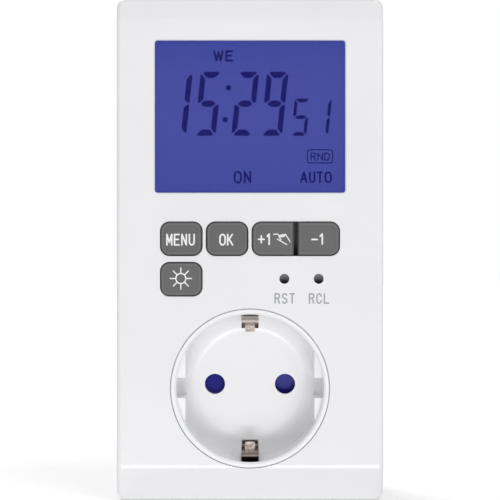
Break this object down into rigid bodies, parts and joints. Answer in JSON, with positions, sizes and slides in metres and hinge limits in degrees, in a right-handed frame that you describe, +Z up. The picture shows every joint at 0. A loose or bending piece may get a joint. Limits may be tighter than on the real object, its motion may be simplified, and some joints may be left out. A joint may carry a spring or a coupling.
{
  "type": "digital plug-in timer",
  "caption": "Digital plug-in timer with a shuttered socket, lit display and keypad, which switches an appliance from a wall socket.",
  "frame": {"origin": "midway between the plug pins, on the end face of the plug body", "axes": "+Y out of the plug towards the wall socket, +Z up the casing, +X to the right seen from the front"},
  "size_m": [0.07, 0.0765, 0.132],
  "materials": {
    "white_shell": "fine satin moulding",
    "white_insert": "satin moulding",
    "clear_window": "clear, polished",
    "blue_display": "blue backlit display glass",
    "clear_guide": "frosted clear",
    "lamp": "side-emitting lamp body",
    "grey_rubber": "soft matt",
    "grey_key": "satin moulding",
    "green_board": "solder-masked laminate",
    "brown_board": "paper laminate",
    "black_plastic": "moulded",
    "bright_steel": "zinc plated",
    "green_sleeve": "shrink sleeve",
    "grey_ribbon": "flat cable",
    "yellow_plastic": "moulded box",
    "dark_sleeve": "shrink sleeve",
    "tan_film": "lacquered",
    "blue_coating": "dipped coating",
    "relay_cover": "moulded",
    "copper_winding": "enamelled copper wire",
    "contact_brass": "stamped brass",
    "blue_shutter": "moulded",
    "grey_carrier": "moulded",
    "plated_earth": "nickel plated strip",
    "plated_pin": "nickel plated brass"
  },
  "bodies": {
    "housing": {"backlight_leds": "lamp", "backup_cell": "green_sleeve", "carrier_screws": "bright_steel", "clock_crystal": "bright_steel", "contact_carrier": "grey_carrier", "control_board": "green_board", "control_board_screws": "bright_steel", "display_driver": "black_plastic", "display_window": "clear_window", "earth_bridge": "plated_earth", "earth_strip_lower": "plated_earth", "earth_strip_upper": "plated_earth", "front_housing": "white_shell", "housing_screws": "bright_steel", "key_mat": "grey_rubber", "lcd_frame": "black_plastic", "lcd_panel": "blue_display", "light_guide": "clear_guide", "line_contact": "contact_brass", "line_feed_bar": "contact_brass", "line_load_bar": "contact_brass", "line_pin": "plated_pin", "neutral_bar": "contact_brass", "neutral_contact": "contact_brass", "neutral_pin": "plated_pin", "neutral_strap": "contact_brass", "pin_retainer": "grey_carrier", "power_board": "brown_board", "power_board_screws": "bright_steel", "rear_housing": "white_shell", "rectifier_diodes": "black_plastic", "relay_base": "black_plastic", "relay_case": "relay_cover", "relay_coil": "copper_winding", "relay_fixed_contact": "contact_brass", "relay_yoke": "bright_steel", "resistors": "tan_film", "retainer_screws": "bright_steel", "ribbon_cable": "grey_ribbon", "shutter_spring": "bright_steel", "smoothing_capacitor": "dark_sleeve", "socket_insert": "white_insert", "varistor": "blue_coating", "x2_capacitor": "yellow_plastic", "zebra_strip": "grey_rubber"},
    "key_menu": {"key_menu": "grey_key"},
    "key_ok": {"key_ok": "grey_key"},
    "key_plus": {"key_plus": "grey_key"},
    "key_minus": {"key_minus": "grey_key"},
    "key_light": {"key_light": "grey_key"},
    "reset_key": {"reset_key": "grey_key"},
    "recall_key": {"recall_key": "grey_key"},
    "shutter": {"shutter": "blue_shutter"},
    "relay_armature": {"relay_armature": "bright_steel", "relay_moving_contact": "contact_brass"}
  },
  "joints": [
    {"name": "key_menu_press", "type": "slide", "parent": "housing", "child": "key_menu", "axis": [0, 1, 0], "range_m": [0, 0.001], "stiffness_N_per_m": 800, "deforming": ["key_mat"]},
    {"name": "key_ok_press", "type": "slide", "parent": "housing", "child": "key_ok", "axis": [0, 1, 0], "range_m": [0, 0.001], "stiffness_N_per_m": 800, "deforming": ["key_mat"]},
    {"name": "key_plus_press", "type": "slide", "parent": "housing", "child": "key_plus", "axis": [0, 1, 0], "range_m": [0, 0.001], "stiffness_N_per_m": 800, "deforming": ["key_mat"]},
    {"name": "key_minus_press", "type": "slide", "parent": "housing", "child": "key_minus", "axis": [0, 1, 0], "range_m": [0, 0.001], "stiffness_N_per_m": 800, "deforming": ["key_mat"]},
    {"name": "key_light_press", "type": "slide", "parent": "housing", "child": "key_light", "axis": [0, 1, 0], "range_m": [0, 0.001], "stiffness_N_per_m": 800, "deforming": ["key_mat"]},
    {"name": "reset_key_press", "type": "slide", "parent": "housing", "child": "reset_key", "axis": [0, 1, 0], "range_m": [0, 0.0006], "stiffness_N_per_m": 800, "deforming": ["key_mat"]},
    {"name": "recall_key_press", "type": "slide", "parent": "housing", "child": "recall_key", "axis": [0, 1, 0], "range_m": [0, 0.0006], "stiffness_N_per_m": 800, "deforming": ["key_mat"]},
    {"name": "shutter_turn", "type": "hinge", "parent": "housing", "child": "shutter", "pos_m": [0, -0.0355, 0], "axis": [0, -1, 0], "range_deg": [0, 36], "stiffness_Nm_per_rad": 0.0005, "deforming": ["shutter_spring"]},
    {"name": "relay_armature_tilt", "type": "hinge", "parent": "housing", "child": "relay_armature", "pos_m": [-0.0094, -0.03605, 0.041], "axis": [0, 0, -1], "range_deg": [0, 4], "stiffness_Nm_per_rad": 0.01}
  ]
}
